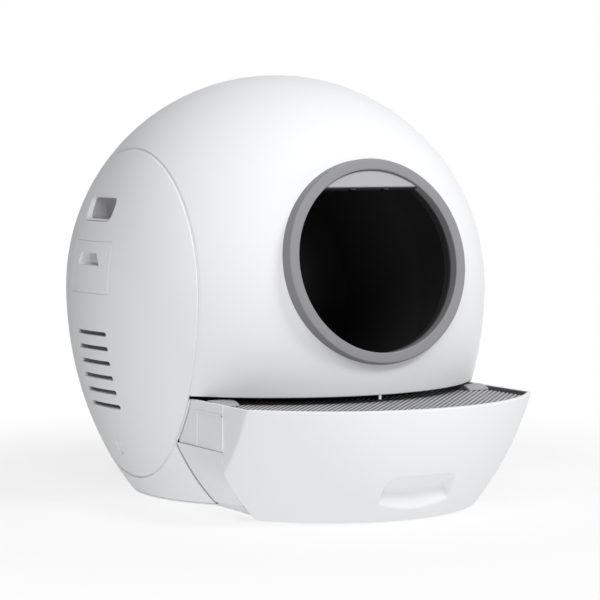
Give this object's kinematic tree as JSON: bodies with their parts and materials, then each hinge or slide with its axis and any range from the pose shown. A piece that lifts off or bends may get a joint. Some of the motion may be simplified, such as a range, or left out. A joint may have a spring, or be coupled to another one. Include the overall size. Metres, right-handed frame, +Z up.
{
  "type": "self-cleaning litter box",
  "caption": "Globe-shaped self-cleaning litter box with a tilted round entry, motor-driven sifting drum, pull-out waste drawer under a ribbed step mat, and side grips.",
  "frame": {"origin": "centre of the overall box on the floor under the feet", "axes": "+Z up, the entry and the drawer face -Y, +X to the right of a viewer facing the entry"},
  "size_m": [0.56, 0.6773, 0.5536],
  "materials": {
    "white_plastic": "fine satin moulded shell",
    "grey_plastic": "satin mid grey entry ring",
    "light_grey_plastic": "satin light grey trim",
    "drum_plastic": "satin charcoal drum",
    "dark_plastic": "matt black moulding",
    "mat_rubber": "ribbed grey rubber mat",
    "foot_rubber": "matt black rubber",
    "gear_plastic": "natural acetal",
    "steel": "plain zinc steel",
    "board": "green circuit laminate",
    "lens": "gloss black sensor window",
    "cartridge": "pale green carbon pad case"
  },
  "bodies": {
    "housing": {"globe_shell": "white_plastic", "rear_shell": "white_plastic", "left_side_cover": "white_plastic", "right_side_cover": "white_plastic", "left_grip_cup": "light_grey_plastic", "right_grip_cup": "light_grey_plastic", "scent_box": "dark_plastic", "scent_cartridge": "cartridge", "power_socket": "light_grey_plastic", "fan_shroud": "dark_plastic", "entry_ring": "grey_plastic", "entry_visor": "light_grey_plastic", "sensor_lenses": "lens", "mouth_seal": "foot_rubber", "base_tray": "white_plastic", "load_cells": "steel", "rubber_feet": "foot_rubber", "base_screws": "steel", "control_board": "board", "roller_legs": "dark_plastic", "roller_pins": "steel", "rear_pivot_post": "steel", "drive_motor": "steel", "motor_bracket": "steel", "drawer_runners": "steel"},
    "drum": {"drum_front": "drum_plastic", "drum_rear": "drum_plastic", "drum_screws": "steel", "drum_gear": "gear_plastic", "waste_sieve": "drum_plastic", "rear_bush": "gear_plastic"},
    "pinion": {"drive_pinion": "gear_plastic"},
    "front_left_roller": {"roller_front_left": "gear_plastic"},
    "front_right_roller": {"roller_front_right": "gear_plastic"},
    "rear_left_roller": {"roller_rear_left": "gear_plastic"},
    "rear_right_roller": {"roller_rear_right": "gear_plastic"},
    "drawer": {"drawer_fascia": "white_plastic", "drawer_frame": "white_plastic", "drawer_tray": "light_grey_plastic", "waste_bin": "dark_plastic", "step_mat": "mat_rubber", "mat_clips": "light_grey_plastic"},
    "lid": {"access_lid": "white_plastic"},
    "latch": {"lid_latch": "white_plastic"},
    "fan": {"fan_impeller": "dark_plastic"}
  },
  "joints": [
    {"name": "drum_spin", "type": "hinge", "parent": "housing", "child": "drum", "pos_m": [0, 0.05875, 0.2736], "axis": [0, -0.9864, 0.1642], "continuous": true},
    {"name": "pinion_spin", "type": "hinge", "parent": "housing", "child": "pinion", "pos_m": [0.20579, 0.14509, 0.1833], "axis": [0, -0.9864, 0.1642], "continuous": true},
    {"name": "front_left_roller_spin", "type": "hinge", "parent": "housing", "child": "front_left_roller", "pos_m": [-0.15548, -0.02038, 0.16363], "axis": [0, -0.9864, 0.1642], "continuous": true},
    {"name": "front_right_roller_spin", "type": "hinge", "parent": "housing", "child": "front_right_roller", "pos_m": [0.15548, -0.02038, 0.16363], "axis": [0, -0.9864, 0.1642], "continuous": true},
    {"name": "rear_left_roller_spin", "type": "hinge", "parent": "housing", "child": "rear_left_roller", "pos_m": [-0.15548, 0.09799, 0.14393], "axis": [0, -0.9864, 0.1642], "continuous": true},
    {"name": "rear_right_roller_spin", "type": "hinge", "parent": "housing", "child": "rear_right_roller", "pos_m": [0.15548, 0.09799, 0.14393], "axis": [0, -0.9864, 0.1642], "continuous": true},
    {"name": "drawer_slide", "type": "slide", "parent": "housing", "child": "drawer", "axis": [0, -1, 0], "range_m": [0, 0.3]},
    {"name": "lid_pull", "type": "slide", "parent": "housing", "child": "lid", "axis": [-1, 0, 0], "range_m": [0, 0.06]},
    {"name": "latch_press", "type": "slide", "parent": "lid", "child": "latch", "axis": [0, 0, -1], "range_m": [0, 0.0024], "stiffness_N_per_m": 300},
    {"name": "fan_spin", "type": "hinge", "parent": "housing", "child": "fan", "pos_m": [-0.232, 0.05475, 0.1735], "axis": [1, 0, 0], "continuous": true}
  ],
  "couplings": [
    {"joint": "pinion_spin", "follows": "drum_spin", "ratio": -7.1111},
    {"joint": "front_left_roller_spin", "follows": "drum_spin", "ratio": -12.133},
    {"joint": "front_right_roller_spin", "follows": "drum_spin", "ratio": -12.133},
    {"joint": "rear_left_roller_spin", "follows": "drum_spin", "ratio": -12.133},
    {"joint": "rear_right_roller_spin", "follows": "drum_spin", "ratio": -12.133}
  ]
}
